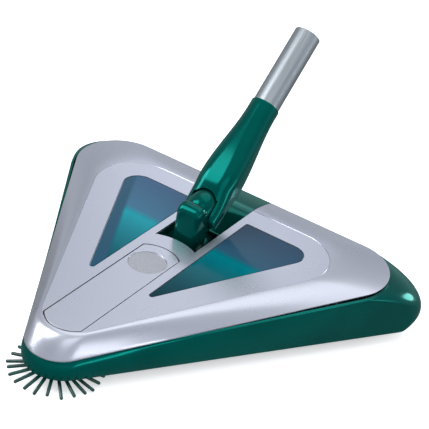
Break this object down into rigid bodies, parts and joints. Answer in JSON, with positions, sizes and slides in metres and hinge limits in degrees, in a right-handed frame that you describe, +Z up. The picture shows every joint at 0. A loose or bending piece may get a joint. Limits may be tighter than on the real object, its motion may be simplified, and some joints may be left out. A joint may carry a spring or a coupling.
{
  "type": "carpet sweeper",
  "caption": "Push-along carpet sweeper with a three-cornered head, a corner brush, tinted dust windows, a push lid and a tilting, leaning handle foot.",
  "frame": {"origin": "on the floor, under the middle of the whole object's box", "axes": "+Z up, -Y towards the corner brush, +X to the right of someone who looks along +Y"},
  "size_m": [0.3644, 0.358, 0.2115],
  "materials": {
    "silver": "metallic lacquer on moulded ABS, glossy",
    "green": "glossy moulded ABS, dark teal green",
    "bristle": "round nylon bristles",
    "tuft": "bristle tufts",
    "window": "blue-tinted clear plastic",
    "dark_plastic": "moulded polypropylene",
    "steel": "zinc-plated",
    "tube_alloy": "satin anodised",
    "bush_bronze": "sintered bronze",
    "rubber": "moulded",
    "tyre": "soft moulded tyre"
  },
  "bodies": {
    "body": {"base_housing": "green", "sole_plate": "dark_plastic", "top_cover": "silver", "window_left": "window", "window_right": "window", "lid_hinge_pin": "steel", "lid_spring": "steel", "post_tray": "green", "rear_panel": "green", "post_cradle": "dark_plastic", "cradle_screws": "steel", "tilt_pin": "steel", "brush_axle": "steel", "roller_bushes": "bush_bronze", "wheel_axles": "steel", "drive_belt": "rubber", "front_axle": "steel", "dust_box_left": "green", "dust_box_right": "green", "flap_pins": "steel", "flap_springs": "steel", "cover_screws": "steel", "sole_screws": "steel"},
    "post": {"swivel_post": "green", "fork_pin": "steel"},
    "handle": {"handle_socket": "green", "handle_tube": "tube_alloy", "tube_screw": "steel"},
    "lid": {"push_lid": "silver", "push_prongs": "dark_plastic"},
    "corner_brush": {"brush_hub": "green", "brush_bristles": "bristle"},
    "roller": {"roller_core": "dark_plastic", "roller_tufts": "tuft", "roller_axle": "steel", "roller_pulley": "dark_plastic"},
    "left_wheel": {"drive_wheel": "green", "drive_tyre": "tyre"},
    "right_wheel": {"idle_wheel": "green", "idle_tyre": "tyre"},
    "front_roller": {"front_wheel": "rubber"},
    "left_flap": {"flap_left": "dark_plastic"},
    "right_flap": {"flap_right": "dark_plastic"}
  },
  "joints": [
    {"name": "foot_tilt", "type": "hinge", "parent": "body", "child": "post", "pos_m": [0, 0.03798, 0.036], "axis": [0, 1, 0], "range_deg": [-10, 10]},
    {"name": "handle_lean", "type": "hinge", "parent": "post", "child": "handle", "pos_m": [0, 0.04358, 0.074], "axis": [1, 0, 0], "range_deg": [-33, 44.5]},
    {"name": "lid_press", "type": "hinge", "parent": "body", "child": "lid", "pos_m": [0, -0.14001, 0.04064], "axis": [1, 0, 0], "range_deg": [-2.5, 0], "stiffness_Nm_per_rad": 5.7, "springref_deg": 0.57, "deforming": ["lid_spring"]},
    {"name": "left_flap_hinge", "type": "hinge", "parent": "body", "child": "left_flap", "pos_m": [-0.024, -0.00902, 0.009], "axis": [0, 1, 0], "range_deg": [-50, 0], "stiffness_Nm_per_rad": 0.004, "springref_deg": 20.05},
    {"name": "right_flap_hinge", "type": "hinge", "parent": "body", "child": "right_flap", "pos_m": [0.024, -0.00902, 0.009], "axis": [0, 1, 0], "range_deg": [0, 50], "stiffness_Nm_per_rad": 0.004, "springref_deg": -20.05},
    {"name": "brush_spin", "type": "hinge", "parent": "body", "child": "corner_brush", "pos_m": [0, -0.14101, 0.0076], "axis": [0, 0, 1], "continuous": true},
    {"name": "roller_spin", "type": "hinge", "parent": "body", "child": "roller", "pos_m": [0, 0.09098, 0.02], "axis": [1, 0, 0], "continuous": true},
    {"name": "left_wheel_spin", "type": "hinge", "parent": "body", "child": "left_wheel", "pos_m": [-0.112, 0.05398, 0.017], "axis": [1, 0, 0], "continuous": true},
    {"name": "right_wheel_spin", "type": "hinge", "parent": "body", "child": "right_wheel", "pos_m": [0.112, 0.05398, 0.017], "axis": [1, 0, 0], "continuous": true},
    {"name": "front_wheel_spin", "type": "hinge", "parent": "body", "child": "front_roller", "pos_m": [0, -0.08901, 0.008], "axis": [1, 0, 0], "continuous": true}
  ],
  "couplings": [
    {"joint": "left_wheel_spin", "follows": "roller_spin", "ratio": 0.5},
    {"joint": "lid_press", "follows": "left_flap_hinge", "ratio": 0.05},
    {"joint": "right_flap_hinge", "follows": "left_flap_hinge", "ratio": -1}
  ]
}
